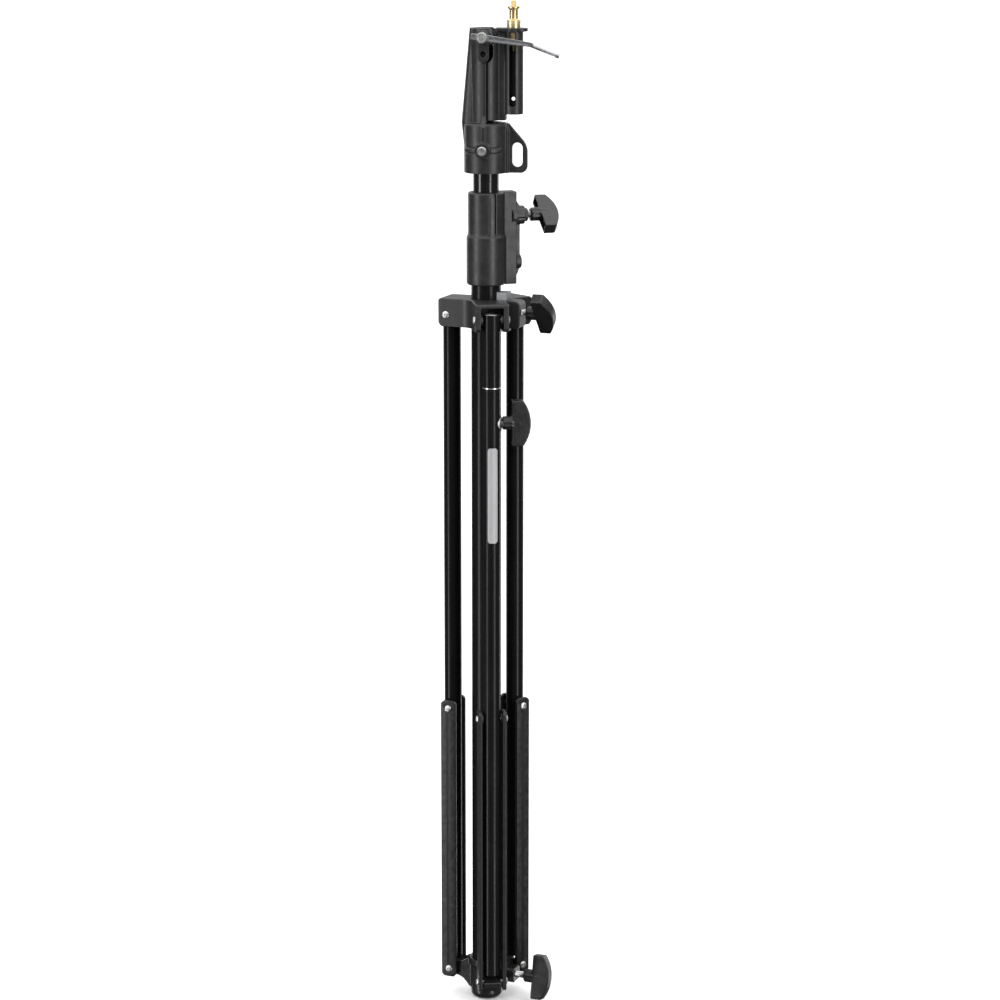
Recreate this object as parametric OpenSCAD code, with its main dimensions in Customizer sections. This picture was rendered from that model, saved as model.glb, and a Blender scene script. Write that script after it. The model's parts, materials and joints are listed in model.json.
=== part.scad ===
/* [Tubes] */
// Outer diameter of the column tube
column_d = 35; // [34:0.5:36]
// Outer diameter of the sliding mast tube
mast_d = 30; // [29:0.5:30.5]
// Outer diameter of each leg tube
leg_d = 21; // [19:0.5:22]
// Wall of every tube
tube_wall = 1.5; // [1.2:0.1:2]

/* [Heights] */
// Height of the column tube's top end
column_top = 936; // [930:1:940]
// Height of the mast tube's top end, inside the head
mast_top = 1061; // [1056:1:1063]
// Height of the leg hinges when folded
leg_pivot_z = 847.5; // [840:0.5:850]
// Height of the hinges between legs and braces when folded
mid_pivot_z = 365.5; // [350:0.5:380]
// Height of the hinges between braces and base hub
hub_pivot_z = 33.5; // [32:0.5:34]
// Height of the leg ends when folded
leg_end_z = 44; // [43:0.5:46]

/* [Leg layout] */
// Distance of the leg axes from the column axis
leg_r = 43.5; // [43:0.1:44.5]
// Direction of the levelling leg, seen from above
front_leg_angle = -73; // [-76:1:-70]

/* [Braces] */
// Half of the clear gap between a brace's two straps
brace_gap = 12.5; // [12:0.1:13]
// Thickness of a brace's straps
brace_wall = 4.4; // [3:0.1:4.6]
// Width of a brace's straps
brace_width = 19.2; // [18:0.2:21]

/* [Head] */
// Height of the head's top face
head_top = 1182; // [1180:0.5:1184]
// Height of the head's lower rim
head_bottom = 1015; // [1012:1:1018]
// Radius of the head's lower sleeve
sleeve_r = 25.5; // [24.5:0.1:26]
// Radius of the head's slim upper part
upper_r = 17; // [16.5:0.1:17.5]
// Distance of the lamp socket from the column axis
socket_x = 32.5; // [32:0.1:33]
// Outer radius of the lamp socket
socket_r = 11.2; // [10.8:0.1:11.5]
// Height of the lever's pivot
lever_z = 1172; // [1170:0.5:1173]

/* [Knobs] */
// Length of a wing knob's wing
wing_len = 54; // [48:1:56]
// Depth of a wing knob's wing at its middle
wing_depth = 22; // [21:0.5:25]
// Thickness of a wing knob's wing
wing_thick = 14; // [12:0.5:16]

/* [Hidden] */
$fn = 72;
leg_angles = [front_leg_angle, front_leg_angle + 120, front_leg_angle + 240];
column_r = column_d / 2;
column_bore = column_r - tube_wall;
mast_r = mast_d / 2;
leg_rad = leg_d / 2;
run_gap = 0.05;

// Head: the tilting bracket keeps outside hinge_r, the fixed ears keep inside it
hinge_r = 12;
ear_r = 11.7;
knuckle_half = 8;
ear_in = 8.4;
bolt_r = 4;
bolt_z = 1042;
bolt_boss_r = 9.3;
bolt_boss_end = 29.5;
shell_wall = 3.5;
slit_x = 3;
bracket_x = 4.2;
bracket_z = 1075.8;
socket_z = 1083;
socket_bore = 7.6;
flange_z = 1178;
flange_end = 49;
pad_y = -22;
sleeve_top = 1073;
mast_bottom = 62;
guide_len = 24;

// Column clamp
clamp_angle = 25.6;
clamp_top = 992.5;
clamp_step = 940;
clamp_bottom = 883.5;
clamp_upper_r = 21.2;
clamp_lower_r = 23;
clamp_knob_z = 964;
clamp_screw_z = 909;
clamp_boss_end = 50;
clamp_slit_angle = -50;

// Leg collar
collar_top = 867;
collar_bottom = 833.5;
cheek_in = 13.6;
cheek_out = 19.7;
cheek_end = 53;
roof_z = 862;
collar_knob_z = 852;
collar_face = 46;
shoe_end = 28.4;
shoe_half = 8;
knob_angle = front_leg_angle + 60;

// Base hub
hub_r = 19.6;
hub_top = 50;
hub_lug_half = 10.8;
hub_lug_end = 51.5;
hub_face = 39.5;
hub_knob_z = 32.3;
slot_r = 2.85;

// Levelling leg
joint_z = 768;
leg_knob_z = 725;
inner_d = 17.4;

// Pivot screws
screw_r = 2.5;
screw_head_r = 4.4;
stud_r = 4;

// ---- shared shapes ----

// Places children in the frame of leg i: +X points outwards, +Y along its hinge axes
module at_leg(i) {
    rotate([0, 0, leg_angles[i]]) children();
}

// A straight tube from z0 to z1
module tube(r, bore, z0, z1) {
    translate([0, 0, z0]) difference() {
        cylinder(r = r, h = z1 - z0);
        translate([0, 0, -1]) cylinder(r = bore, h = z1 - z0 + 2);
    }
}

// A cylinder along Y from y0 to y1
module y_rod(r, y0, y1) {
    translate([0, y0, 0]) rotate([-90, 0, 0]) cylinder(r = r, h = y1 - y0);
}

// A cylinder along X from x0 to x1
module x_rod(r, x0, x1) {
    translate([x0, 0, 0]) rotate([0, 90, 0]) cylinder(r = r, h = x1 - x0);
}

// A plate in the XZ plane, between y0 and y1
module xz_plate(y0, y1) {
    translate([0, y1, 0]) rotate([90, 0, 0]) linear_extrude(height = y1 - y0) children();
}

// A screw along Y with a domed head at each end
module pivot_screw(half) {
    y_rod(screw_r, -half - 1, half + 1);
    for (turn = [0, 180])
        rotate([0, 0, turn]) translate([0, half, 0]) rotate([-90, 0, 0]) screw_head();
}

// A domed head that sits on z = 0, with a hexagon recess
module screw_head() {
    difference() {
        rotate_extrude() polygon([
            [0, 0], [screw_head_r, 0], [screw_head_r, 0.8], [screw_head_r - 0.8, 1.7],
            [screw_head_r - 2, 2.2], [0, 2.4]
        ]);
        translate([0, 0, 1]) cylinder(r = 1.7, h = 2, $fn = 6);
    }
}

// Outline of a wing: a flat inner edge, square ends and an arched outer edge
module wing_outline(inset) {
    arc_r = 46 - inset;
    intersection() {
        translate([wing_depth - 46, 0]) circle(r = arc_r);
        translate([-20, -wing_len / 2 + inset]) square([60, wing_len - 2 * inset]);
        translate([0, -wing_len]) square([60, 2 * wing_len]);
    }
}

// A hollow wing knob along +X with its collar's face at x = 0
module wing_knob() {
    collar_len = 12;
    collar_rad = 7.3;
    difference() {
        union() {
            x_rod(collar_rad, 0, collar_len + 8);
            x_rod(collar_rad - 1, -0.6, 1);
            translate([collar_len - 1, 0, 0]) rotate([90, 0, 0])
                translate([0, 0, -wing_thick / 2])
                    linear_extrude(height = wing_thick) wing_outline(0);
        }
        for (side = [-1, 1])
            translate([collar_len - 2, 0, 0]) rotate([90, 0, 0])
                translate([0, 0, -wing_thick / 2 + 2])
                    linear_extrude(height = wing_thick - 4) difference() {
                        wing_outline(2.4);
                        translate([0, side > 0 ? -60 : -8]) square([60, 68]);
                    }
        x_rod(stud_r, -1, collar_len + 6);
    }
}

// The steel screw of a wing knob, from x0 to the knob's pocket
module knob_stud(x0) {
    x_rod(stud_r, x0, 16);
}

// ---- column ----

module column_tube() {
    color("#17181a") tube(column_r, column_bore, 8, column_top);
}

module base_hub() {
    color("#232427") difference() {
        union() {
            rotate_extrude() hub_profile();
            for (i = [0:2]) at_leg(i) hub_lug();
            rotate([0, 0, knob_angle]) hub_boss();
        }
        translate([0, 0, 8]) cylinder(r = column_r + run_gap, h = 100);
        rotate([0, 0, knob_angle]) translate([0, 0, hub_knob_z]) {
            x_rod(stud_r + run_gap, 24, 60);
            x_rod(6.05, 10, 24);
        }
        for (i = [0:2]) at_leg(i) hub_slot();
    }
}

// Section of the hub's cup, rounded at the foot
module hub_profile() {
    foot_r = 8;
    difference() {
        square([hub_r, hub_top]);
        translate([hub_r - foot_r, 0]) difference() {
            square([foot_r + 1, foot_r]);
            translate([0, foot_r]) circle(r = foot_r);
        }
    }
    translate([0, hub_top - 8]) square([hub_r + 2, 8]);
}

// A lug that reaches between the straps of a brace; it slopes so that the leg end clears it as it
// moves out
module hub_lug() {
    xz_plate(-hub_lug_half, hub_lug_half) polygon([
        [12, 48], [22, 48], [40, 39.4], [hub_lug_end, hub_pivot_z], [hub_lug_end, 30],
        [hub_lug_end - 3, 27], [42, 25.5], [34, 24.5], [28, 22], [23.5, 18], [19, 12], [12, 12]
    ]);
}

// The way for a brace's lower screw: it leaves downwards as the legs open
module hub_slot() {
    translate([leg_r, 0, hub_pivot_z]) y_rod(slot_r, -30, 30);
    xz_plate(-30, 30) polygon([
        [leg_r - slot_r, hub_pivot_z], [leg_r + slot_r, hub_pivot_z],
        [leg_r + slot_r, 10], [leg_r - slot_r - 7.5, 10]
    ]);
}

// The boss that carries the hub's clamping screw
module hub_boss() {
    difference() {
        translate([10, -11, 24]) cube([hub_face - 10, 22, 17]);
        translate([0, 0, hub_knob_z]) difference() {
            translate([28, -20, -30]) cube([40, 40, 60]);
            x_rod(12, 0, 60);
        }
    }
}

module hub_brake_pad() {
    color("#5d5f63") rotate([0, 0, knob_angle]) translate([0, 0, hub_knob_z])
        difference() {
            x_rod(6, 16, 20.5);
            translate([0, 0, -20]) cylinder(r = column_r + 0.1, h = 40);
        }
}

// ---- column clamp ----

module tube_clamp() {
    color("#2b2c2f") difference() {
        union() {
            rotate_extrude() clamp_profile();
            rotate([0, 0, clamp_angle]) clamp_block();
            rotate([0, 0, clamp_slit_angle]) clamp_slit_lip();
        }
        translate([0, 0, 860]) cylinder(r = column_r + run_gap, h = column_top + 0.3 - 860);
        translate([0, 0, 900]) cylinder(r = mast_r + 1.55, h = 200);
        rotate([0, 0, clamp_angle]) {
            translate([0, 0, clamp_knob_z]) {
                x_rod(stud_r + run_gap, 20, 60);
                x_rod(7.05, 10, 27);
            }
            translate([0, 0, clamp_screw_z]) {
                x_rod(3 + run_gap, 10, 60);
                x_rod(5, 36, 60);
            }
        }
        rotate([0, 0, clamp_slit_angle]) translate([14, -0.8, clamp_step + 4]) cube([20, 1.6, 80]);
    }
}

// The raised lip along one side of the sleeve's slit
module clamp_slit_lip() {
    intersection() {
        tube(clamp_upper_r + 0.9, clamp_upper_r - 2, clamp_step - 2, clamp_top - 5);
        translate([10, -8, clamp_step - 2]) cube([20, 8, 60]);
    }
}

// Section of the two sleeves, with rounded rims
module clamp_profile() {
    rim = 2.5;
    difference() {
        union() {
            translate([0, clamp_bottom]) square([clamp_lower_r, clamp_step - clamp_bottom]);
            translate([0, clamp_bottom + 5]) square([clamp_upper_r, clamp_top - clamp_bottom - 5]);
            polygon([
                [clamp_upper_r - 1, clamp_step - 1], [clamp_lower_r, clamp_step - 1],
                [clamp_upper_r, clamp_step + 4], [clamp_upper_r - 1, clamp_step + 4]
            ]);
        }
        translate([clamp_lower_r - rim, clamp_bottom]) difference() {
            square([rim + 1, rim]);
            translate([0, rim]) circle(r = rim);
        }
        translate([clamp_upper_r - rim, clamp_top - rim]) difference() {
            square([rim + 1, rim + 1]);
            circle(r = rim);
        }
    }
}

// The block beside the sleeves, its web and the two screw bosses
module clamp_block() {
    translate([8, -8.5, clamp_bottom]) cube([27, 17, clamp_top - clamp_bottom]);
    xz_plate(-3.5, 3.5) polygon([
        [34, 984], [40.5, 975], [40.5, 917], [41.5, 912], [41.5, 905], [38, 896], [34, 888]
    ]);
    translate([0, 0, clamp_knob_z]) fluted_boss(11, 30, clamp_boss_end);
    translate([0, 0, clamp_screw_z]) x_rod(8, 30, 42);
}

// A round boss along +X with flutes around its side
module fluted_boss(r, x0, x1) {
    flutes = 10;
    difference() {
        union() {
            x_rod(r, x0, x1 - 4);
            x_rod(r - 3, x0, x1);
        }
        for (k = [0:flutes - 1])
            rotate([k * 360 / flutes, 0, 0]) translate([0, 0, r + 0.6]) x_rod(1.6, x0 + 6, x1 + 1);
    }
}

module clamp_bush() {
    color("#3a3b3e") difference() {
        tube(mast_r + 1.5, mast_r + run_gap, column_top + 1, clamp_top - 1.5);
        rotate([0, 0, clamp_angle]) translate([0, 0, clamp_knob_z]) x_rod(7.2, 0, 60);
    }
}

module clamp_brake_shoe() {
    color("#77797d") rotate([0, 0, clamp_angle]) translate([0, 0, clamp_knob_z])
        difference() {
            x_rod(7, 8, 24);
            translate([0, 0, -30]) cylinder(r = mast_r + 0.1, h = 60);
        }
}

module clamp_fixing_screw() {
    color("#c4c6c9") rotate([0, 0, clamp_angle]) translate([0, 0, clamp_screw_z]) {
        x_rod(3, column_r + 0.3, 39);
        difference() {
            x_rod(4.8, 36.1, 39.5);
            x_rod(2.4, 37.5, 45, $fn = 6);
        }
    }
}

// ---- mast and head ----

module mast_tube() {
    color("#141517") difference() {
        tube(mast_r, mast_r - tube_wall, mast_bottom, mast_top);
        translate([0, 0, bolt_z]) y_rod(bolt_r + run_gap, -30, 30);
    }
}

module mast_guide_ring() {
    color("#3a3b3e") {
        tube(column_bore - run_gap, mast_r + run_gap, mast_bottom, mast_bottom + guide_len);
        tube(column_bore - run_gap, 9, mast_bottom - 3, mast_bottom);
    }
}

module head_casting() {
    color("#2b2c2f") difference() {
        union() {
            head_sleeve();
            head_upper_half();
            head_ears();
            head_rib();
            head_ear_plate();
        }
        translate([0, 0, head_bottom - 1]) cylinder(r = mast_r + run_gap, h = mast_top - head_bottom + 1.5);
        translate([0, 0, head_bottom - 40]) cylinder(r = 11, h = 200);
        translate([0, 0, bolt_z]) y_rod(bolt_r + run_gap, -60, 60);
        translate([0, 0, lever_z]) y_rod(bolt_r + run_gap, -60, 60);
        translate([0, 0, lever_z]) y_rod(7.1, 19.5, 60, $fn = 6);
        translate([0, 0, 1152.5]) y_rod(3.4, -40, -14);
        knuckle_room();
    }
}

// Lower sleeve with its bolt boss and a raised band between two grooves
module head_sleeve() {
    difference() {
        rotate_extrude() difference() {
            translate([0, head_bottom]) square([sleeve_r, sleeve_top - head_bottom]);
            translate([sleeve_r - 3, sleeve_top - 3]) difference() {
                square([5, 5]);
                circle(r = 3);
            }
        }
        front_band(bolt_z - 4, bolt_z - 2.4, 3, -0.9);
        front_band(bolt_z + 2.4, bolt_z + 4, 3, -0.9);
    }
    front_band(bolt_z - 2.4, bolt_z + 2.4, 1, -2);
    translate([0, 0, bolt_z]) y_rod(bolt_boss_r, -bolt_boss_end, bolt_boss_end);
}

// A part of a ring round the sleeve's front, from z0 to z1, out to grow and in to depth
module front_band(z0, z1, grow, depth) {
    intersection() {
        tube(sleeve_r + grow, sleeve_r + depth, z0, z1);
        translate([-23.5, -40, 1000]) cube([44, 32, 100]);
    }
}

// The fixed half of the slim upper part: a half shell with a fin on its outer side
module head_upper_half() {
    difference() {
        union() {
            translate([0, 0, sleeve_top - 8]) cylinder(r = upper_r, h = head_top - sleeve_top + 8);
            head_fin();
        }
        translate([0, 0, sleeve_top]) cylinder(r = upper_r - shell_wall, h = 200);
        translate([slit_x, -60, sleeve_top + 0.5]) cube([100, 120, 200]);
    }
    translate([0, 0, sleeve_top - 6]) cylinder(r = upper_r, h = 6);
    difference() {
        translate([0, 0, head_top - 4]) cylinder(r = upper_r, h = 4);
        translate([-8.5, -60, 1000]) cube([100, 120, 300]);
    }
    joint_lip(upper_r - shell_wall + 0.5, 1.5);
    joint_lip(upper_r - shell_wall - 0.4, 6);
}

// A lip inside the rear joint of the two halves that closes it to light, out to x_end
module joint_lip(r, x_end) {
    intersection() {
        tube(r, upper_r - shell_wall - 2.4, sleeve_top - 1, 1162.5);
        translate([-4, 8, sleeve_top - 1]) cube([x_end + 4, 12, 100]);
    }
}

// The fin widens the head towards the sleeve and fades out below its upper edge
module head_fin() {
    hull() {
        translate([-12, 0, head_top - 1]) cylinder(r = 7, h = 1, $fn = 32);
        translate([-18.5, 0, sleeve_top]) cylinder(r = 10, h = 1, $fn = 32);
        translate([-14, 0, sleeve_top]) cylinder(r = 11, h = 1, $fn = 32);
    }
    hull() {
        translate([-18.5, 0, sleeve_top]) cylinder(r = 10, h = 1, $fn = 32);
        translate([-14.8, 0, bolt_z - 4]) cylinder(r = 10, h = 1, $fn = 32);
        translate([-10, 0, bolt_z]) cylinder(r = 10, h = 20, $fn = 32);
    }
}

// Two ears that hold the lever's bolt, and the pad that hangs from the front one
module head_ears() {
    intersection() {
        translate([0, 0, lever_z]) for (side = [-1, 1])
            y_rod(ear_r, side > 0 ? ear_in : -upper_r, side > 0 ? upper_r : -ear_in);
        translate([0, 0, 1100]) cylinder(r = upper_r, h = head_top - 1100);
    }
    translate([-6.6, pad_y, 1149.5]) cube([13.2, 6.5, lever_z - 1149.5]);
    translate([0, 0, 1149.5]) y_rod(6.6, pad_y, pad_y + 6.5);
    translate([0, 0, lever_z]) y_rod(8, -24, -12);
    translate([0, 0, lever_z]) y_rod(9.5, 12, 24);
}

// A flat rib down the front, from the pad to the bolt boss
module head_rib() {
    rise = 1.4;
    translate([-1.8, 0, 0]) rotate([90, 0, 90]) linear_extrude(height = 4.8) polygon([
        [-20, bolt_z], [-sleeve_r - rise, bolt_z], [-sleeve_r - rise, sleeve_top - 4],
        [-upper_r - rise, sleeve_top + 8], [-upper_r - rise, 1146], [-14.5, 1146],
        [-14.5, sleeve_top + 1], [-20, sleeve_top - 2]
    ]);
}

// The plate with a long eye for a counterweight
module head_ear_plate() {
    half = 2.6;
    corner = 8;
    eye_x = 37.2;
    eye_r = 6.1;
    xz_plate(-half, half) difference() {
        union() {
            polygon([
                [15, head_bottom], [flange_end - corner, head_bottom],
                [flange_end, head_bottom + corner], [flange_end, 1040], [48.5, 1044],
                [47, 1048.3], [44.5, 1052.3], [30, 1069], [27.6, 1072.2], [15, 1072.2]
            ]);
            translate([flange_end - corner, head_bottom + corner]) circle(r = corner);
        }
        for (z = [1028, 1044]) translate([eye_x, z]) circle(r = eye_r);
        translate([eye_x - eye_r, 1028]) square([2 * eye_r, 16]);
    }
    xz_plate(-9, 9) polygon([
        [15, head_bottom], [27.5, head_bottom], [27.5, 1065], [25, 1072.5], [15, 1072.5]
    ]);
}

// Room for the bracket's knuckle and web between the ears
module knuckle_room() {
    translate([-8.5, -ear_in, 1150]) cube([60, 2 * ear_in, 100]);
}

module head_cross_bolt() {
    color("#c4c6c9") translate([0, 0, bolt_z]) {
        y_rod(bolt_r, -bolt_boss_end, bolt_boss_end - 1);
        difference() {
            y_rod(5.4, -bolt_boss_end - 4.3, -bolt_boss_end);
            y_rod(2.9, -bolt_boss_end - 5, -bolt_boss_end - 1.5, $fn = 6);
        }
    }
}

module head_cross_nut() {
    color("#a9abae") translate([0, 0, bolt_z]) difference() {
        y_rod(7.2, bolt_boss_end, bolt_boss_end + 5.5, $fn = 6);
        y_rod(bolt_r, 20, 40);
    }
}

module lever_nut() {
    color("#a9abae") translate([0, 0, lever_z]) difference() {
        y_rod(7, 19.6, 26, $fn = 6);
        y_rod(bolt_r + run_gap, 0, 40);
    }
}

module lever_bolt() {
    color("#c4c6c9") translate([0, 0, lever_z]) {
        y_rod(bolt_r, -31.7, 25);
        y_rod(5.9, -33.5, -31.6);
    }
}

module head_lever() {
    arm_tilt = 7.5;
    rod_tilt = 20.6;
    color("#c4c6c9") translate([0, 0, lever_z]) difference() {
        union() {
            y_rod(6.6, -31.6, -24.4);
            rotate([0, arm_tilt, 0]) xz_plate(-30.8, -25.6) polygon([
                [-13.2, -3.1], [0, -3.9], [57, -2.5], [60, -1.3], [60, 1.3], [57, 2.5], [0, 3.9], [-13.2, 3.1]
            ]);
            rotate([0, arm_tilt, 0]) translate([54, -28.2, 0]) rotate([0, rod_tilt - arm_tilt, 0]) {
                x_rod(2.2, 0, 37);
                x_rod(2.7, 33.5, 38);
            }
        }
        rotate([0, arm_tilt, 0]) xz_plate(-32, -29.4) {
            polygon([[8, -1.9], [54, -1.1], [54, 1.1], [8, 1.9]]);
            polygon([[-11.8, -1.7], [-7.4, -1.8], [-7.4, 1.8], [-11.8, 1.7]]);
        }
        y_rod(bolt_r, -40, 0);
    }
}

// ---- tilting lamp socket ----

module socket_bracket() {
    color("#2b2c2f") difference() {
        union() {
            bracket_shell();
            translate([socket_x, 0, socket_z]) cylinder(r = socket_r, h = head_top - socket_z);
            translate([14.5, -5, socket_z]) cube([socket_x - 14.5, 10, flange_z - socket_z]);
            translate([14.5, -6, bracket_z]) cube([9.3, 12, flange_z - bracket_z]);
            bracket_flange();
            translate([0, 0, lever_z]) y_rod(7.4, -knuckle_half, knuckle_half);
            translate([0, -knuckle_half, lever_z - 7]) cube([20, 2 * knuckle_half, 7]);
        }
        translate([0, 0, lever_z]) y_rod(bolt_r + run_gap, -60, 60);
        translate([socket_x, 0, 1090]) cylinder(r = socket_bore, h = 200);
        translate([socket_x - 3.5, -30, 1095]) cube([7, 30, flange_z - 1095 - 1]);
        translate([socket_x, -30, 1095]) rotate([-90, 0, 0]) cylinder(r = 3.5, h = 30);
        translate([socket_x - 1.5, 0, 1100]) rotate([-90, 0, 0]) cylinder(r = 2.2, h = 30);
        translate([socket_x, 0, 1165]) x_rod(2.05, 0, 40);
    }
}

// The movable half of the slim upper part
module bracket_shell() {
    difference() {
        translate([0, 0, bracket_z]) cylinder(r = upper_r, h = head_top - bracket_z);
        translate([0, 0, 1000]) cylinder(r = upper_r - shell_wall, h = 300);
        translate([bracket_x - 100, -60, 1000]) cube([100, 120, 300]);
        translate([0, 0, lever_z]) y_rod(hinge_r, -60, 60);
        translate([0, 0, 1152]) y_rod(10.2, -60, 0);
        translate([-40, -60, 1152]) cube([50.2, 60, 30]);
        translate([-40, -60, lever_z]) cube([51, 120, 60]);
    }
}

// The top flange over the socket
module bracket_flange() {
    difference() {
        union() {
            translate([12, -10, flange_z]) cube([27, 20, head_top - flange_z]);
            translate([39, 0, flange_z]) cylinder(r = 10, h = head_top - flange_z);
        }
        translate([0, 0, lever_z]) y_rod(hinge_r, -60, 60);
    }
}

module lamp_spigot() {
    color("#c9a24a") translate([socket_x, 0, 0]) rotate_extrude() polygon([
        [0, 1155.5], [2.2, 1155.5], [3.6, 1159.5], [socket_bore - 0.05, 1163.5],
        [socket_bore - 0.05, head_top], [7.8, head_top], [8, head_top + 0.3], [8, 1191],
        [5.1, 1192.4], [5.1, 1202.8], [7.2, 1204.5], [7.2, 1206.5], [3.175, 1206.5],
        [3.175, 1213.5], [2.6, 1214], [0, 1214]
    ]);
}

module spigot_screw() {
    color("#8d8f93") translate([socket_x, 0, 1165]) difference() {
        x_rod(2, socket_bore + 0.05, 12.6);
        x_rod(1.1, 11.4, 14, $fn = 6);
    }
}

// ---- wing knobs ----

module clamp_knob() {
    color("#26272a") clamp_knob_place() wing_knob();
}

module clamp_knob_stud() {
    color("#c4c6c9") clamp_knob_place() knob_stud(-29);
}

module clamp_knob_place() {
    rotate([0, 0, clamp_angle]) translate([54, 0, clamp_knob_z]) rotate([-55, 0, 0]) children();
}

module collar_knob() {
    color("#26272a") collar_knob_place() wing_knob();
}

module collar_knob_stud() {
    color("#c4c6c9") collar_knob_place() knob_stud(-23.7);
}

module collar_knob_place() {
    rotate([0, 0, knob_angle]) translate([52.2, 0, collar_knob_z]) rotate([40, 0, 0]) children();
}

module leg_knob() {
    color("#26272a") leg_knob_place() wing_knob();
}

module leg_knob_stud() {
    color("#c4c6c9") leg_knob_place() knob_stud(-4);
}

module leg_knob_washer() {
    color("#c4c6c9") leg_knob_place() difference() {
        translate([-0.7, 0, 0]) rotate([0, -90, 0]) rotate_extrude() polygon([
            [0, 0], [6.6, 0], [9, 1.2], [9, 1.7], [0, 1.7]
        ]);
        x_rod(stud_r + run_gap, -30, 30);
    }
}

module leg_knob_place() {
    at_leg(0) translate([leg_r, leg_rad + 2.5, leg_knob_z]) rotate([0, 0, 90]) children();
}

module hub_knob() {
    color("#26272a") hub_knob_place() wing_knob();
}

module hub_knob_stud() {
    color("#c4c6c9") hub_knob_place() knob_stud(-29);
}

module hub_knob_place() {
    rotate([0, 0, knob_angle]) translate([50.5, 0, hub_knob_z]) rotate([-11, 0, 0]) children();
}

// ---- leg collar ----

module leg_collar() {
    color("#2b2c2f") difference() {
        union() {
            difference() {
                translate([0, 0, collar_bottom])
                    linear_extrude(height = collar_top - collar_bottom) collar_plan();
                for (i = [0:2]) at_leg(i) arm_rounding();
            }
            rotate([0, 0, knob_angle]) collar_boss();
        }
        for (i = [0:2]) at_leg(i) {
            translate([27, -cheek_in, collar_bottom - 5]) cube([60, 2 * cheek_in, roof_z - collar_bottom + 5]);
            translate([leg_r, 0, leg_pivot_z]) y_rod(screw_r + run_gap, -60, 60);
        }
        rotate([0, 0, knob_angle]) {
            translate([0, 0, collar_knob_z]) x_rod(stud_r + run_gap, 24, 60);
            translate([10, -shoe_half - 0.2, collar_bottom - 5])
                cube([shoe_end + 0.2 - 10, 2 * shoe_half + 0.4, collar_top - collar_bottom + 10]);
        }
    }
}

// A point turned about the origin
function turn(p, a) = [p[0] * cos(a) - p[1] * sin(a), p[0] * sin(a) + p[1] * cos(a)];

// Plan of the collar: three arms with hollow rounded corners between them, and the bore
module collar_plan() {
    corner_r = 18;
    steps = 10;
    corner = (cheek_out + corner_r) / sin(60) * [cos(60), sin(60)];
    arm = concat(
        [[cheek_end, -cheek_out], [cheek_end, cheek_out]],
        [for (k = [0:steps]) corner + corner_r * turn([0, -1], -60 * k / steps)]
    );
    difference() {
        polygon([for (a = leg_angles, p = arm) turn(p, a)]);
        circle(r = column_r + run_gap);
    }
}

// What rounds the outer end of an arm, more at the bottom than at the top
module arm_rounding() {
    low_r = 7;
    top_r = 4;
    ease = 0.3;
    xz_plate(-cheek_out - 1, cheek_out + 1) {
        difference() {
            translate([cheek_end - low_r + ease, collar_bottom - 2]) square([low_r + 2, low_r + 2 - ease]);
            translate([cheek_end - low_r + ease, collar_bottom + low_r - ease]) circle(r = low_r);
        }
        difference() {
            translate([cheek_end - top_r + ease, collar_top - top_r + ease]) square(top_r + 2);
            translate([cheek_end - top_r + ease, collar_top - top_r + ease]) circle(r = top_r);
        }
    }
}

// The boss that carries the collar's clamping screw, rounded at its outer end
module collar_boss() {
    half = 10.5;
    low = collar_bottom + 0.4;
    high = collar_top - 0.4;
    xz_plate(-half, half) polygon([
        [22, low], [collar_face - 4, low], [collar_face - 1.2, low + 1.2], [collar_face, low + 4],
        [collar_face, high - 5], [collar_face - 1.5, high - 1.5], [collar_face - 5, high], [22, high]
    ]);
}

// The bare block that the collar's screw presses against the column
module collar_brake_shoe() {
    color("#8f9194") rotate([0, 0, knob_angle]) difference() {
        translate([16.6, -shoe_half, 829.5])
            cube([shoe_end - 16.6, 2 * shoe_half, 875.7 - 829.5]);
        translate([0, 0, 800]) cylinder(r = column_r + 0.1, h = 100);
    }
}

module leg_pivot_screws() {
    color("#c4c6c9") for (i = [0:2])
        at_leg(i) translate([leg_r, 0, leg_pivot_z]) pivot_screw(cheek_out);
}

module leg_pivot_washers() {
    color("#c9cbce") for (i = [0:2], side = [-1, 1])
        at_leg(i) translate([leg_r, 0, leg_pivot_z]) difference() {
            y_rod(6, side > 0 ? leg_rad + 0.3 : -cheek_in, side > 0 ? cheek_in : -leg_rad - 0.3);
            y_rod(screw_r + run_gap, -40, 40);
        }
}

// ---- legs ----

// A leg tube between two heights, with its cross holes
module leg_tube(z0, z1, bore) {
    translate([leg_r, 0, 0]) difference() {
        tube(leg_rad, bore, z0, z1);
        for (z = [leg_pivot_z, mid_pivot_z])
            translate([0, 0, z]) y_rod(screw_r + run_gap, -30, 30);
    }
}

// The plastic plug in the open end of a leg
module leg_foot() {
    translate([leg_r, 0, leg_end_z]) {
        cylinder(r = leg_rad - tube_wall - run_gap, h = 26);
        rotate_extrude() polygon([
            [0, -1], [leg_rad - 2.5, -1], [leg_rad - 1, 0], [0, 0]
        ]);
    }
}

module brace_screw(i) {
    color("#c4c6c9") at_leg(i) translate([leg_r, 0, mid_pivot_z])
        pivot_screw(brace_gap + brace_wall + 0.1);
}

module front_leg_sleeve() {
    color("#17181a") at_leg(0) leg_tube(joint_z + 0.5, leg_pivot_z + 6.5, inner_d / 2 + run_gap);
}

module front_leg_inner_tube() {
    color("#6d6f73") at_leg(0) translate([leg_r, 0, 0]) difference() {
        tube(inner_d / 2, inner_d / 2 - tube_wall, 470, leg_pivot_z + 6);
        translate([0, 0, leg_pivot_z]) y_rod(screw_r + run_gap, -30, 30);
    }
}

module front_leg_tube() {
    color("#17181a") at_leg(0) difference() {
        leg_tube(leg_end_z, joint_z - 1, leg_rad - tube_wall);
        translate([leg_r, 0, leg_knob_z]) y_rod(stud_r + run_gap, 0, 30);
    }
}

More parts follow.
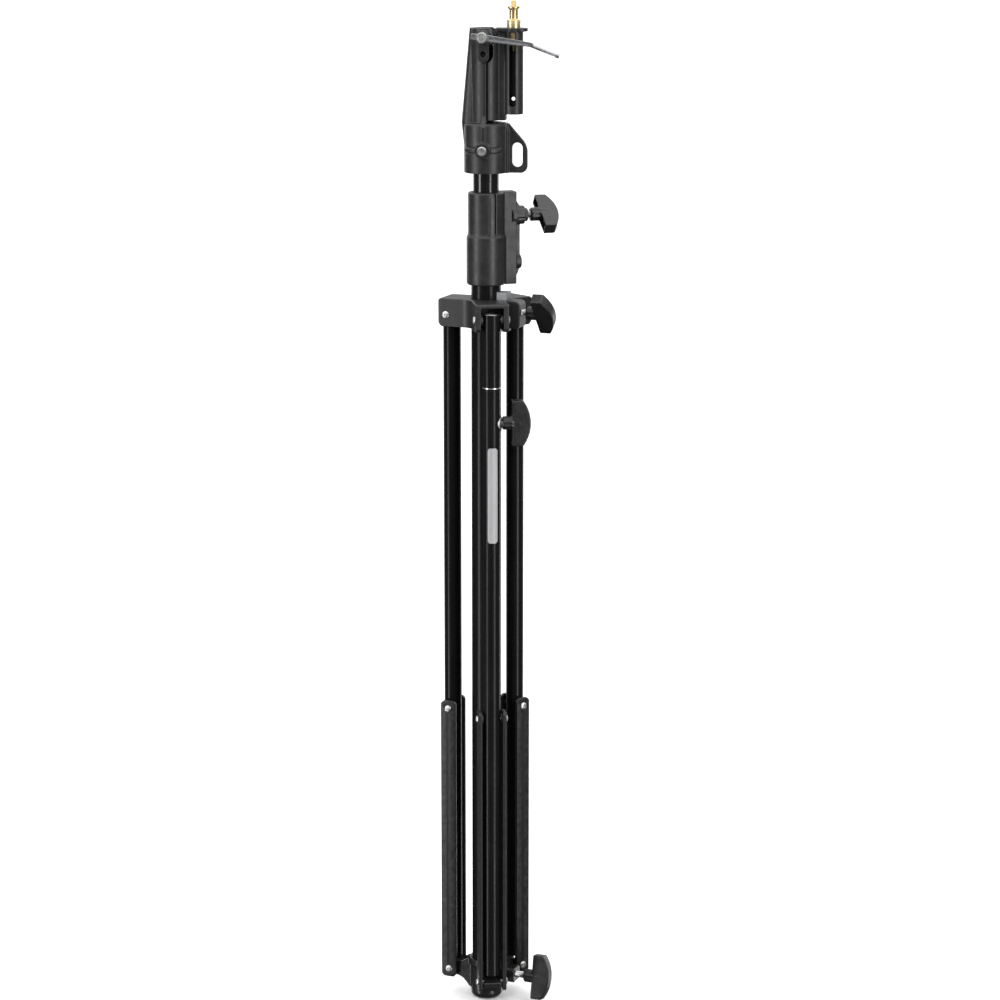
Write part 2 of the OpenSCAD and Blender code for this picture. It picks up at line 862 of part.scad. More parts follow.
module front_leg_ring() {
    color("#c4c6c9") at_leg(0) translate([leg_r, 0, 0]) {
        tube(leg_rad + 0.1, inner_d / 2 + run_gap, joint_z - 1, joint_z + 0.5);
        tube(leg_rad - tube_wall - run_gap, inner_d / 2 + run_gap, joint_z - 25, joint_z - 1);
    }
}

module front_leg_foot() {
    color("#1f2022") at_leg(0) leg_foot();
}

module front_leg_label() {
    label_half = 6;
    color("#b9babc") at_leg(0) translate([leg_r, 0, 0]) intersection() {
        tube(leg_rad + 0.35, leg_rad + 0.02, 583, 697);
        translate([0, -label_half, 580]) cube([20, 2 * label_half, 120]);
    }
}

module front_brace_screw() {
    brace_screw(0);
}

module right_leg_tube() {
    color("#17181a") at_leg(1) leg_tube(leg_end_z, leg_pivot_z + 6.5, leg_rad - tube_wall);
}

module right_leg_foot() {
    color("#1f2022") at_leg(1) leg_foot();
}

module right_brace_screw() {
    brace_screw(1);
}

module left_leg_tube() {
    color("#17181a") at_leg(2) leg_tube(leg_end_z, leg_pivot_z + 6.5, leg_rad - tube_wall);
}

module left_leg_foot() {
    color("#1f2022") at_leg(2) leg_foot();
}

module left_brace_screw() {
    brace_screw(2);
}

// ---- braces ----

// Rounded end of a strap around a pivot
module brace_end(z) {
    intersection() {
        translate([leg_r, z]) circle(r = 11.5);
        translate([leg_r - brace_width / 2, z - 10]) square([brace_width, 20]);
    }
}

// A pair of straps, one on each side of the leg
module brace(i) {
    half = brace_gap + brace_wall;
    color("#222326") at_leg(i) difference() {
        xz_plate(-half, half) {
            brace_end(mid_pivot_z);
            brace_end(hub_pivot_z);
            translate([leg_r - brace_width / 2, hub_pivot_z])
                square([brace_width, mid_pivot_z - hub_pivot_z]);
        }
        translate([0, -brace_gap, 0]) cube([90, 2 * brace_gap, 500]);
        for (z = [mid_pivot_z, hub_pivot_z])
            translate([leg_r, 0, z]) y_rod(screw_r + run_gap, -30, 30);
    }
}

module hub_screw(i) {
    color("#c4c6c9") at_leg(i) translate([leg_r, 0, hub_pivot_z]) pivot_screw(brace_gap + brace_wall);
}

module front_brace() {
    brace(0);
}

module right_brace() {
    brace(1);
}

module left_brace() {
    brace(2);
}

module front_hub_screw() {
    hub_screw(0);
}

module right_hub_screw() {
    hub_screw(1);
}

module left_hub_screw() {
    hub_screw(2);
}

column_tube();
base_hub();
hub_brake_pad();
tube_clamp();
clamp_bush();
clamp_brake_shoe();
clamp_fixing_screw();
mast_tube();
mast_guide_ring();
head_casting();
head_cross_bolt();
head_cross_nut();
lever_nut();
head_lever();
lever_bolt();
socket_bracket();
lamp_spigot();
spigot_screw();
clamp_knob();
clamp_knob_stud();
collar_knob();
collar_knob_stud();
leg_knob();
leg_knob_stud();
leg_knob_washer();
hub_knob();
hub_knob_stud();
leg_collar();
collar_brake_shoe();
leg_pivot_screws();
leg_pivot_washers();
front_leg_sleeve();
front_leg_inner_tube();
front_leg_tube();
front_leg_ring();
front_leg_foot();
front_leg_label();
front_brace_screw();
left_leg_tube();
left_leg_foot();
left_brace_screw();
right_leg_tube();
right_leg_foot();
right_brace_screw();
front_brace();
left_brace();
right_brace();
front_hub_screw();
left_hub_screw();
right_hub_screw();
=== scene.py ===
import json
import math

import bmesh
import bpy
from mathutils import Matrix, Vector


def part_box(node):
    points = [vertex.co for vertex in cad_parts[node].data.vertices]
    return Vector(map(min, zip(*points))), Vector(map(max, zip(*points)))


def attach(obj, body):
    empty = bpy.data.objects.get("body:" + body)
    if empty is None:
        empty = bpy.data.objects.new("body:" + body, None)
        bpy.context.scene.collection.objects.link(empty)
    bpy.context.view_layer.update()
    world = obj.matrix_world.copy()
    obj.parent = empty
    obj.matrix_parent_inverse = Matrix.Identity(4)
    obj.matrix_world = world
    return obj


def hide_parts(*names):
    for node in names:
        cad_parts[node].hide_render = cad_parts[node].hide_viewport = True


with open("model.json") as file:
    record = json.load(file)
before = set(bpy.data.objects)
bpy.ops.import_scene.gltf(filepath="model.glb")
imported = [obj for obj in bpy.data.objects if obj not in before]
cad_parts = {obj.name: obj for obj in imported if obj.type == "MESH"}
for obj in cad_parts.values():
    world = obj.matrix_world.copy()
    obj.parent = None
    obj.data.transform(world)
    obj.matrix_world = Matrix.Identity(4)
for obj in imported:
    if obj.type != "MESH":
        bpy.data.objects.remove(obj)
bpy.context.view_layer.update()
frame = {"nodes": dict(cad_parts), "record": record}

NODES = frame["nodes"]
BEHAVIOUR = frame["record"]["behaviour"]
BODY_OF = {node: body for body, nodes in BEHAVIOUR["bodies"].items() for node in nodes}
JOINT = {joint["name"]: joint for joint in BEHAVIOUR["joints"]}
SLOT_OF = {part["node"]: part["material_slot"] for part in frame["record"]["subparts"]}

MM = 0.001  # one millimetre in the scene's metres
SIDES = ("front", "left", "right")
LEG_TUBE_R = 10.5  # in mm


# ---- materials ----

class Shader:
    """A node material that starts from one Principled shader and object coordinates."""

    def __init__(self, name):
        self.material = bpy.data.materials.new(name)
        self.material.use_nodes = True
        self.tree = self.material.node_tree
        self.tree.nodes.clear()
        out = self.add("ShaderNodeOutputMaterial")
        self.bsdf = self.add("ShaderNodeBsdfPrincipled")
        self.link(self.bsdf.outputs[0], out.inputs[0])
        self.place = self.add("ShaderNodeTexCoord").outputs["Object"]

    def add(self, kind, **settings):
        node = self.tree.nodes.new(kind)
        for key, value in settings.items():
            setattr(node, key, value)
        return node

    def link(self, source, target):
        self.tree.links.new(source, target)

    def noise(self, size_mm, detail=3.0, stretch=(1, 1, 1)):
        """Noise whose features are about size_mm across, longer along a stretched axis."""
        mapping = self.add("ShaderNodeMapping")
        mapping.inputs["Scale"].default_value = [1 / s for s in stretch]
        self.link(self.place, mapping.inputs["Vector"])
        node = self.add("ShaderNodeTexNoise")
        node.inputs["Scale"].default_value = 1000 / size_mm
        node.inputs["Detail"].default_value = detail
        node.inputs["Roughness"].default_value = 0.55
        self.link(mapping.outputs[0], node.inputs["Vector"])
        return node.outputs["Fac"]

    def remap(self, value, low, high, to_low=0.0, to_high=1.0):
        """The value's range from low to high, spread over to_low to to_high and clamped."""
        node = self.add("ShaderNodeMapRange", clamp=True)
        for key, number in (
            ("From Min", low), ("From Max", high), ("To Min", to_low), ("To Max", to_high)
        ):
            node.inputs[key].default_value = number
        self.link(value, node.inputs["Value"])
        return node.outputs["Result"]

    def multiply(self, a, b):
        node = self.add("ShaderNodeMath", operation="MULTIPLY")
        self.link(a, node.inputs[0])
        self.link(b, node.inputs[1])
        return node.outputs[0]

    def mix(self, factor, a, b):
        """Colour a where factor is 0 and b where it is 1; each is a colour or an output."""
        node = self.add("ShaderNodeMix", data_type="RGBA")
        self.link(factor, node.inputs[0])
        for value, socket in ((a, node.inputs[6]), (b, node.inputs[7])):
            if isinstance(value, tuple):
                socket.default_value = (*value, 1)
            else:
                self.link(value, socket)
        return node.outputs[2]

    def bump(self, height, depth_mm, before=None):
        """A normal that follows height, on top of the normal in before."""
        node = self.add("ShaderNodeBump")
        node.inputs["Strength"].default_value = 1.0
        node.inputs["Distance"].default_value = depth_mm * MM
        self.link(height, node.inputs["Height"])
        if before is not None:
            self.link(before, node.inputs["Normal"])
        return node.outputs["Normal"]

    def edges(self, low, high):
        """Where the mesh has a sharp outer edge, broken up so that it isn't even."""
        geometry = self.add("ShaderNodeNewGeometry")
        sharp = self.remap(geometry.outputs["Pointiness"], low, high)
        return self.multiply(sharp, self.remap(self.noise(6), 0.35, 0.65))

    def finish(self, colour, rough, normal=None, metallic=0.0, specular=0.5):
        """Sets the shader's inputs; colour is an output, rough a number or an output."""
        self.link(colour, self.bsdf.inputs["Base Color"])
        if isinstance(rough, float):
            self.bsdf.inputs["Roughness"].default_value = rough
        else:
            self.link(rough, self.bsdf.inputs["Roughness"])
        if normal is not None:
            self.link(normal, self.bsdf.inputs["Normal"])
        self.bsdf.inputs["Metallic"].default_value = metallic
        self.bsdf.inputs["Specular IOR Level"].default_value = specular
        return self.material


def grey(value, blue=1.0):
    return (value, value, value * blue)


def painted_casting(name, tone, rough, grain_mm, depth_mm, wear, specular):
    """Black paint on a casting: tool lines around it, fine grain, and paler rubbed edges."""
    s = Shader(name)
    cloud = s.remap(s.noise(22, 2), 0.3, 0.7)
    colour = s.mix(cloud, grey(tone * 0.75, 1.05), grey(tone * 1.25, 1.05))
    turned = s.noise(0.6, 2, (30, 30, 1))
    colour = s.mix(s.remap(turned, 0.5, 0.75), colour, grey(tone * 1.5))
    colour = s.mix(s.edges(0.515, 0.58), colour, grey(wear))
    roughness = s.remap(s.noise(9, 4), 0.3, 0.7, rough - 0.07, rough + 0.07)
    lines = s.bump(turned, 0.012)
    grain = s.bump(s.noise(grain_mm, 2), depth_mm, lines)
    ripple = s.bump(s.noise(12, 2), 0.10, grain)
    return s.finish(colour, roughness, ripple, specular=specular)


def anodised_tube(name, tone, rough, specular):
    """Drawn and black anodised aluminium: faint lines along the tube and a soft shine."""
    s = Shader(name)
    lines = s.noise(0.9, 3, (1, 1, 160))
    colour = s.mix(s.remap(lines, 0.35, 0.7), grey(tone * 0.8, 1.1), grey(tone * 1.35, 1.1))
    colour = s.mix(s.remap(s.noise(60, 4), 0.5, 0.75), colour, grey(tone * 1.6, 1.06))
    roughness = s.remap(s.noise(1.6, 3, (1, 1, 90)), 0.3, 0.7, rough - 0.05, rough + 0.06)
    return s.finish(colour, roughness, s.bump(lines, 0.006), specular=specular)


def moulded_plastic(name, tone, rough, grain_mm, depth_mm):
    """Spark-eroded texture on black plastic or rubber, paler where its edges are rubbed."""
    s = Shader(name)
    colour = s.mix(s.remap(s.noise(15, 3), 0.3, 0.7), grey(tone * 0.8), grey(tone * 1.25))
    colour = s.mix(s.edges(0.51, 0.56), colour, grey(tone * 2.2))
    roughness = s.remap(s.noise(7, 4), 0.3, 0.7, rough - 0.06, rough + 0.08)
    return s.finish(colour, roughness, s.bump(s.noise(grain_mm, 2), depth_mm))


def bright_metal(name, colour, rough, stretch, line_mm, depth_mm, tint=None, metallic=1.0):
    """Plated or turned metal with fine tool lines, and cloudy tarnish in the colour tint."""
    s = Shader(name)
    lines = s.noise(line_mm, 3, stretch)
    cloud = s.remap(s.noise(8, 4), 0.4, 0.75)
    dark = tuple(c * 0.72 for c in colour)
    base = s.mix(s.remap(lines, 0.3, 0.7), dark, colour)
    base = s.mix(cloud, base, tint or tuple(c * 0.86 for c in colour))
    roughness = s.remap(s.noise(3, 4), 0.3, 0.7, rough - 0.05, rough + 0.09)
    return s.finish(base, roughness, s.bump(lines, depth_mm), metallic)


MATERIALS = {
    "black_casting": painted_casting(
        "black_casting", tone=0.012, rough=0.40, grain_mm=0.7, depth_mm=0.05, wear=0.05,
        specular=0.5,
    ),
    "gloss_casting": painted_casting(
        "gloss_casting", tone=0.008, rough=0.28, grain_mm=1.4, depth_mm=0.03, wear=0.012,
        specular=0.5,
    ),
    "brace_paint": painted_casting(
        "brace_paint", tone=0.008, rough=0.44, grain_mm=0.8, depth_mm=0.03, wear=0.03,
        specular=0.35,
    ),
    "black_tube": anodised_tube("black_tube", tone=0.005, rough=0.25, specular=0.17),
    "polished_tube": anodised_tube("polished_tube", tone=0.004, rough=0.2, specular=0.5),
    "knob_plastic": moulded_plastic(
        "knob_plastic", tone=0.006, rough=0.34, grain_mm=0.6, depth_mm=0.02
    ),
    "dark_plastic": moulded_plastic(
        "dark_plastic", tone=0.02, rough=0.42, grain_mm=0.5, depth_mm=0.05
    ),
    "rubber_foot": moulded_plastic(
        "rubber_foot", tone=0.014, rough=0.62, grain_mm=0.9, depth_mm=0.04
    ),
    "zinc_steel": bright_metal(
        "zinc_steel", (0.72, 0.73, 0.74), rough=0.34, stretch=(1, 1, 1), line_mm=0.35,
        depth_mm=0.01, tint=(0.62, 0.61, 0.56),
    ),
    "chromed_steel": bright_metal(
        "chromed_steel", (0.46, 0.47, 0.49), rough=0.32, stretch=(9, 1, 1), line_mm=0.4,
        depth_mm=0.008,
    ),
    "brass": bright_metal(
        "brass", (0.82, 0.66, 0.36), rough=0.3, stretch=(40, 40, 1), line_mm=0.3,
        depth_mm=0.012, tint=(0.66, 0.50, 0.24),
    ),
    "bare_aluminium": bright_metal(
        "bare_aluminium", (0.78, 0.79, 0.8), rough=0.3, stretch=(30, 30, 1), line_mm=0.5,
        depth_mm=0.01,
    ),
    "brake_shoe": bright_metal(
        "brake_shoe", (0.42, 0.43, 0.44), rough=0.5, stretch=(1, 1, 1), line_mm=0.9,
        depth_mm=0.04,
    ),
    "label_foil": bright_metal(
        "label_foil", (0.46, 0.46, 0.47), rough=0.55, stretch=(1, 1, 60), line_mm=0.6,
        depth_mm=0.004, metallic=0.35,
    ),
}


# ---- mesh helpers: lengths are in millimetres unless they are taken from the CAD ----

def in_scene(name, data):
    """A new object of the scene that holds a mesh, a camera or a light."""
    made = bpy.data.objects.new(name, data)
    bpy.context.scene.collection.objects.link(made)
    return made


def add_piece(name, mesh, material, node, replace=True):
    """Adds a finished mesh that rides on the node's body, and that replaces the node."""
    piece = in_scene(name, mesh)
    mesh.materials.clear()
    mesh.materials.append(MATERIALS[material])
    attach(piece, BODY_OF[node])
    if replace:
        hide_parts(node)


def as_mesh(name, bm):
    mesh = bpy.data.meshes.new(name)
    bm.to_mesh(mesh)
    bm.free()
    return mesh


def closed_mesh(name, bm, sharp_angle):
    """The mesh of a closed surface, with its faces turned outwards and shaded."""
    bmesh.ops.recalc_face_normals(bm, faces=bm.faces)
    mesh = as_mesh(name, bm)
    smooth_shade(mesh, sharp_angle)
    return mesh


def smooth_shade(mesh, sharp_angle=None):
    """Shades a mesh smooth, and keeps edges sharper than sharp_angle degrees."""
    for polygon in mesh.polygons:
        polygon.use_smooth = True
    if sharp_angle is not None:
        mesh.set_sharp_from_angle(angle=math.radians(sharp_angle))


def welded(node, add_to=None):
    """The node's surface with its split corners joined, and with what add_to(bm) adds."""
    bm = bmesh.new()
    bm.from_mesh(NODES[node].data)
    bmesh.ops.remove_doubles(bm, verts=bm.verts, dist=1e-6)
    if add_to:
        add_to(bm)
    return as_mesh("welded", bm)


def applied(mesh, modifiers):
    """The mesh after a list of (type, settings) modifiers."""
    holder = in_scene("holder", mesh)
    for kind, settings in modifiers:
        modifier = holder.modifiers.new(kind, kind)
        for key, value in settings.items():
            setattr(modifier, key, value)
    bpy.context.view_layer.update()
    graph = bpy.context.evaluated_depsgraph_get()
    made = bpy.data.meshes.new_from_object(holder.evaluated_get(graph))
    bpy.data.objects.remove(holder)
    bpy.data.meshes.remove(mesh)
    return made


def rounded_copy(mesh, voxel, passes, keep):
    """The mesh with its edges rounded over, as a casting or moulding has them."""
    mesh = applied(mesh, [
        ("REMESH", {"mode": "VOXEL", "voxel_size": voxel * MM, "use_smooth_shade": True}),
        ("SMOOTH", {"factor": 0.5, "iterations": passes}),
        ("DECIMATE", {"ratio": keep}),
    ])
    smooth_shade(mesh)
    return mesh


def bevelled_copy(node, width):
    """The node's shape with its sharp edges broken by a narrow round."""
    mesh = applied(welded(node), [
        ("BEVEL", {
            "width": width * MM, "segments": 3, "limit_method": "ANGLE",
            "angle_limit": math.radians(35), "use_clamp_overlap": True,
            "harden_normals": False, "miter_outer": "MITER_ARC",
        }),
    ])
    smooth_shade(mesh, 40)
    return mesh


def axis_frame(origin, axis):
    """A matrix whose X runs along axis from origin, and whose unit is a millimetre."""
    turn = Vector(axis).to_track_quat("X", "Z").to_matrix().to_4x4()
    return Matrix.Translation(origin) @ turn @ Matrix.Scale(MM, 4)


def upright(node):
    """The frame of an upright round node: X runs up its axis, and x = 0 is the floor."""
    low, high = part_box(node)
    return axis_frame(((low[0] + high[0]) / 2, (low[1] + high[1]) / 2, 0), (0, 0, 1))


def heights(node):
    """The node's lowest and highest point."""
    low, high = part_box(node)
    return low[2] / MM, high[2] / MM


def circle_angles(count):
    return [2 * math.pi * k / count for k in range(count)]


def strip_of_faces(bm, one, two):
    """Faces between two closed loops of equally many points."""
    for k in range(len(one)):
        after = (k + 1) % len(one)
        bm.faces.new((one[k], one[after], two[after], two[k]))


def lathe(name, place, profile, segments=48):
    """A closed body turned about the X of its frame; the profile is a list of (x, radius)."""
    bm = bmesh.new()
    rings = []
    for x, radius in profile:
        if radius == 0:
            rings.append([bm.verts.new(place @ Vector((x, 0, 0)))])
            continue
        rings.append([
            bm.verts.new(place @ Vector((x, radius * math.cos(a), radius * math.sin(a))))
            for a in circle_angles(segments)
        ])
    for one, two in zip(rings, rings[1:]):
        for k in range(segments):
            corners = [one[k % len(one)], one[(k + 1) % len(one)],
                       two[(k + 1) % len(two)], two[k % len(two)]]
            bm.faces.new(list(dict.fromkeys(corners)))
    bmesh.ops.remove_doubles(bm, verts=bm.verts, dist=1e-7)
    return closed_mesh(name, bm, 35)


def thread(x0, x1, radius, depth, pitch):
    """Profile points of a threaded stretch, from x0 to x1."""
    turns = round((x1 - x0) / pitch)
    step = (x1 - x0) / turns
    points = []
    for k in range(turns):
        points += [(x0 + k * step, radius - depth), (x0 + (k + 0.5) * step, radius)]
    return points + [(x1, radius - depth)]


# ---- castings, knobs, lever and straps ----

CASTINGS = (
    # name, node, voxel, smoothing passes, share of faces kept, material
    ("head_body", "head_casting", 0.65, 3, 0.3, "black_casting"),
    ("socket_arm", "socket_bracket", 0.65, 3, 0.4, "black_casting"),
    ("clamp_body", "tube_clamp", 0.7, 5, 0.35, "black_casting"),
    ("collar_body", "leg_collar", 0.7, 5, 0.35, "black_casting"),
    ("hub_body", "base_hub", 0.6, 8, 0.35, "gloss_casting"),
)


def add_castings():
    for name, node, voxel, passes, keep, material in CASTINGS:
        add_piece(name, rounded_copy(welded(node), voxel, passes, keep), material, node)


def add_flutes(bm, place):
    """Nine thin rods round a knob's hub, which the voxel remesh melts into flutes."""
    flute_r, start, length, off_axis = 1.5, 0.6, 10.9, 6.9
    middle = start + length / 2
    for a in circle_angles(9):
        centre = Vector((middle, off_axis * math.cos(a), off_axis * math.sin(a)))
        turn = Vector((1, 0, 0)).to_track_quat("Z", "Y").to_matrix().to_4x4()
        bmesh.ops.create_cone(
            bm, cap_ends=True, segments=12, radius1=flute_r, radius2=flute_r, depth=length,
            matrix=place @ Matrix.Translation(centre) @ turn,
        )


def add_knob(knob):
    """A moulded wing with a fluted hub, on an M8 stud; X runs out along the stud."""
    joint = JOINT[knob + "_turn"]
    place = axis_frame(joint["pos_m"], joint["axis"])
    mesh = rounded_copy(welded(knob, lambda bm: add_flutes(bm, place)), 0.55, 22, 0.35)
    add_piece(knob + "_wing", mesh, "knob_plastic", knob)

    stud = knob + "_stud"
    to_stud = place.inverted()
    reach = [(to_stud @ v.co).x for v in NODES[stud].data.vertices]
    start, end = min(reach), max(reach)
    profile = [(start, 0), (start, 3), (start + 0.6, 3.4)]
    profile += thread(start + 0.6, end - 1, radius=3.97, depth=0.6, pitch=1.25)
    profile += [(end, 3.3), (end, 0)]
    add_piece(stud + "_thread", lathe(stud + "_thread", place, profile, 32), "zinc_steel", stud)


def add_lever_and_straps():
    add_piece("lever_arm", bevelled_copy("head_lever", 0.35), "chromed_steel", "head_lever")
    for side in SIDES:
        node = side + "_brace"
        add_piece(node + "_channel", bevelled_copy(node, 0.7), "brace_paint", node)


# ---- turned parts: each profile lists (distance along the axis, radius) ----

def add_spigot():
    """The turned brass spigot with rounded shoulders and a threaded tip."""
    low, high = heights("lamp_spigot")
    seat, neck, flare, flange = 1182.2, 1192.6, 1202.4, 1206.5
    pin_r, body_r, neck_r, flange_r = 7.5, 8, 5.1, 7.2
    profile = [
        (low, 0), (low, 2.2), (low + 4, 3.6), (low + 8, pin_r), (seat - 0.4, pin_r),
        (seat, body_r - 0.1), (neck - 2.2, body_r), (neck - 1.5, body_r - 0.3),
        (neck - 0.6, neck_r + 0.5), (neck, neck_r), (flare, neck_r),
        (flare + 0.8, neck_r + 0.4), (flange - 2.1, flange_r - 0.2),
        (flange - 1.7, flange_r), (flange - 0.3, flange_r), (flange, flange_r - 0.3),
        (flange, 2.7),
    ]
    profile += thread(flange + 0.1, high - 0.6, radius=3.15, depth=0.45, pitch=1.27)
    profile += [(high, 2.3), (high, 0)]
    mesh = lathe("spigot_pin", upright("lamp_spigot"), profile)
    add_piece("spigot_pin", mesh, "brass", "lamp_spigot")


def add_head_bolt(name, node, shank_r, end_r, head):
    """A bolt along Y through the head, with its head, a list of (depth, radius), in front."""
    low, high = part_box(node)
    back, front = -high[1] / MM, -low[1] / MM
    place = axis_frame((0, 0, (low[2] + high[2]) / 2), (0, -1, 0))
    profile = [(back, 0), (back, end_r), (back + 0.5, shank_r), (front - head[0][0], shank_r)]
    profile += [(front - depth, radius) for depth, radius in head]
    add_piece(name, lathe(name, place, profile), "zinc_steel", node)


def add_head_bolts():
    """The lever's bolt, with a ring groove, and the through bolt, with a deep socket."""
    add_head_bolt("lever_bolt_turned", "lever_bolt", 3.97, 3.5, [
        (1.9, 5.5), (1.5, 5.9), (0.5, 5.9), (0, 5.5), (0, 4.4), (0.7, 4.1), (0.7, 2.3),
        (0.2, 2.1), (0.1, 0),
    ])
    add_head_bolt("cross_bolt_turned", "head_cross_bolt", 3.95, 3.6, [
        (4.3, 5.1), (4.0, 5.4), (0.9, 5.4), (0, 4.7), (0, 3.1), (0.4, 2.8), (3.4, 2.8),
        (3.6, 0),
    ])


def add_spacers():
    """Black spacers between the legs and the straps, round the upper brace screws."""
    inner, outer, screw_r, spacer_r, chamfer = LEG_TUBE_R + 0.1, 12.4, 2.55, 5.9, 0.3
    half_profile = [
        (inner, screw_r), (inner, spacer_r - chamfer), (inner + chamfer, spacer_r),
        (outer - chamfer, spacer_r), (outer, spacer_r - chamfer), (outer, screw_r),
        (inner, screw_r),
    ]
    for side in SIDES:
        joint = JOINT[side + "_brace_hinge"]
        place = axis_frame(joint["pos_m"], joint["axis"])
        for end, sign in (("near", -1), ("far", 1)):
            name = side + "_spacer_" + end
            mesh = lathe(name, place, [(sign * x, r) for x, r in half_profile], 32)
            add_piece(name, mesh, "dark_plastic", side + "_leg_tube", replace=False)


def add_sleeve_rim():
    """The bare, rounded end of the levelling leg's upper tube."""
    node = "front_leg_sleeve"
    top = heights(node)[1]
    profile = [
        (top - 0.4, 8.76), (top + 0.1, 8.8), (top + 0.4, 9.1), (top + 0.4, 10.1),
        (top + 0.1, LEG_TUBE_R - 0.05), (top - 0.4, LEG_TUBE_R - 0.02), (top - 0.4, 8.76),
    ]
    mesh = lathe("sleeve_rim", upright(node), profile, 64)
    add_piece("sleeve_rim", mesh, "bare_aluminium", node, replace=False)


# ---- sheets that are curved round the levelling leg ----

def add_saddle_washer():
    """The bright washer under the levelling leg's knob, curved to lie on the tube."""
    joint = JOINT["leg_knob_turn"]
    out = Vector(joint["axis"]).normalized()
    side = out.cross(Vector((0, 0, 1)))
    centre = upright("front_leg_tube").translation
    centre.z = joint["pos_m"][2]
    hole_r, washer_r, thick = 4.1, 8.8, 1.5
    section = [
        # radius, height above the tube
        (hole_r, 0), (washer_r, 0), (washer_r + 0.4, thick / 2), (washer_r - 0.2, thick),
        (hole_r, thick),
    ]
    bm = bmesh.new()
    loops = []
    for r, lift in section:
        loop = []
        for a in circle_angles(40):
            across, up = r * math.cos(a), r * math.sin(a)
            height = math.sqrt((LEG_TUBE_R + 0.1 + lift) ** 2 - across ** 2)
            point = centre + (out * height + side * across + Vector((0, 0, up))) * MM
            loop.append(bm.verts.new(point))
        loops.append(loop)
    for one, two in zip(loops, loops[1:] + loops[:1]):
        strip_of_faces(bm, one, two)
    add_piece("saddle_washer", closed_mesh("saddle_washer", bm, 50), "zinc_steel",
              "leg_knob_washer")


def label_grid(bm, node, radius):
    """Rows of points over the blank label, at a radius from the levelling leg's axis."""
    low, high = heights(node)
    centre = upright("front_leg_tube").translation
    facing = math.atan2(centre.y, centre.x)
    half_width, corner_r, rows, columns = 6.2, 2.0, 40, 12
    grid = []
    for row in range(rows + 1):
        z = low + (high - low) * row / rows
        inset = max(0.0, corner_r - min(z - low, high - z))
        width = half_width - corner_r + math.sqrt(corner_r ** 2 - inset ** 2)
        line = []
        for column in range(columns + 1):
            a = facing + width * (2 * column / columns - 1) / radius
            x, y = radius * MM * math.cos(a), radius * MM * math.sin(a)
            line.append(bm.verts.new((centre.x + x, centre.y + y, z * MM)))
        grid.append(line)
    return grid


def grid_faces(bm, grid):
    for one, two in zip(grid, grid[1:]):
        for k in range(len(one) - 1):
            bm.faces.new((one[k], one[k + 1], two[k + 1], two[k]))


def grid_border(grid):
    """The points round the edge of a grid, in order."""
    right = [line[-1] for line in grid[1:]]
    left = [line[0] for line in grid[-2:0:-1]]
    return grid[0] + right + grid[-1][-2::-1] + left


def add_label():
    """A blank foil label wrapped on the levelling leg, with rounded corners."""
    node = "front_leg_label"
    bm = bmesh.new()
    front, back = (label_grid(bm, node, LEG_TUBE_R + gap) for gap in (0.33, 0.03))
    grid_faces(bm, front)
    grid_faces(bm, back)
    strip_of_faces(bm, grid_border(front), grid_border(back))
    add_piece("foil_label", closed_mesh("foil_label", bm, 40), "label_foil", node)


def paint_cad_nodes():
    """Gives every CAD node that still shows the material of its slot."""
    for node, cad in NODES.items():
        if not cad.hide_render:
            look = "polished_tube" if node == "mast_tube" else SLOT_OF[node]
            cad.data.materials.clear()
            cad.data.materials.append(MATERIALS[look])


# ---- camera, light and floor: lengths are in metres ----

def add_camera():
    data = bpy.data.cameras.new("camera")
    data.sensor_width = 36
    data.lens = 110.4
    data.clip_end = 100
    camera = in_scene("camera", data)
    camera.location = (0.5512, -3.5354, 1.3847)
    camera.rotation_euler = (math.radians(78), 0, math.radians(8.6))
    bpy.context.scene.camera = camera


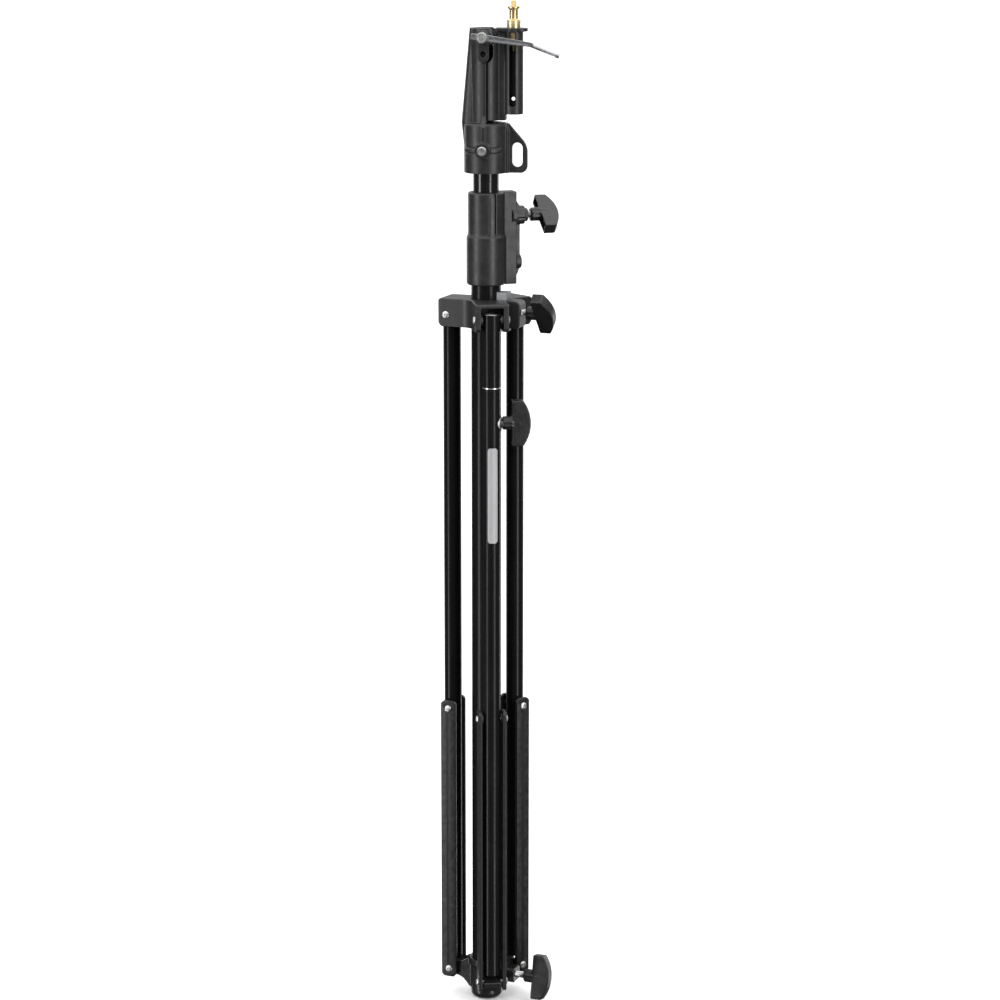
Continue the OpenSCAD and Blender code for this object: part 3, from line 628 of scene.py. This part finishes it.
def add_world():
    """A studio that is bright overhead and dim at eye level, and white to the camera."""
    horizon, zenith, seen_by_camera = 0.12, 2.4, 1.0
    world = bpy.data.worlds.new("studio")
    bpy.context.scene.world = world
    world.use_nodes = True
    tree = world.node_tree
    link = tree.links.new
    up = tree.nodes.new("ShaderNodeSeparateXYZ")
    link(tree.nodes.new("ShaderNodeTexCoord").outputs["Generated"], up.inputs[0])
    level = tree.nodes.new("ShaderNodeMapRange")
    for key, value in (
        ("From Min", 0.0), ("From Max", 1.0), ("To Min", horizon), ("To Max", zenith)
    ):
        level.inputs[key].default_value = value
    link(up.outputs["Z"], level.inputs["Value"])
    seen = tree.nodes.new("ShaderNodeMix")
    link(tree.nodes.new("ShaderNodeLightPath").outputs["Is Camera Ray"], seen.inputs[0])
    link(level.outputs["Result"], seen.inputs[2])
    seen.inputs[3].default_value = seen_by_camera
    background = tree.nodes["Background"]
    background.inputs["Color"].default_value = (1, 1, 1, 1)
    link(seen.outputs[0], background.inputs["Strength"])


def add_floor():
    """A pale floor that the camera sees, but that the black tubes don't mirror."""
    bm = bmesh.new()
    bmesh.ops.create_grid(bm, x_segments=40, y_segments=40, size=60)
    mesh = as_mesh("floor", bm)
    floor = in_scene("floor", mesh)
    s = Shader("floor")
    tone = s.mix(s.remap(s.noise(900, 2), 0.3, 0.7), grey(0.86), grey(0.9))
    mesh.materials.append(s.finish(tone, 0.9))
    floor.visible_glossy = False
    floor.visible_diffuse = False
    floor.visible_shadow = False


def add_strip_light(name, azimuth, width, power):
    """A tall area light; azimuth 0 is in front, on the -Y side, and 90 on the +X side."""
    height, distance, elevation, aim = 3.4, 2.4, -2, Vector((0, 0, 0.6))
    data = bpy.data.lights.new(name, "AREA")
    data.shape = "RECTANGLE"
    data.size = width
    data.size_y = height
    data.energy = power
    light = in_scene(name, data)
    a, e = math.radians(azimuth), math.radians(elevation)
    towards = Vector((math.sin(a) * math.cos(e), -math.cos(a) * math.cos(e), math.sin(e)))
    light.location = aim + towards * distance
    light.rotation_euler = towards.to_track_quat("Z", "Y").to_euler()


add_castings()
for knob in ("clamp_knob", "collar_knob", "leg_knob", "hub_knob"):
    add_knob(knob)
add_lever_and_straps()
add_spigot()
add_head_bolts()
add_saddle_washer()
add_spacers()
add_sleeve_rim()
add_label()
paint_cad_nodes()

add_camera()
add_world()
add_floor()
add_strip_light("left_strip", -51, width=0.4, power=40)
add_strip_light("right_strip", 49, width=0.3, power=40)
add_strip_light("left_back_strip", -140, width=0.5, power=14)
add_strip_light("right_back_strip", 150, width=0.5, power=14)
bpy.context.scene.view_settings.view_transform = "Standard"
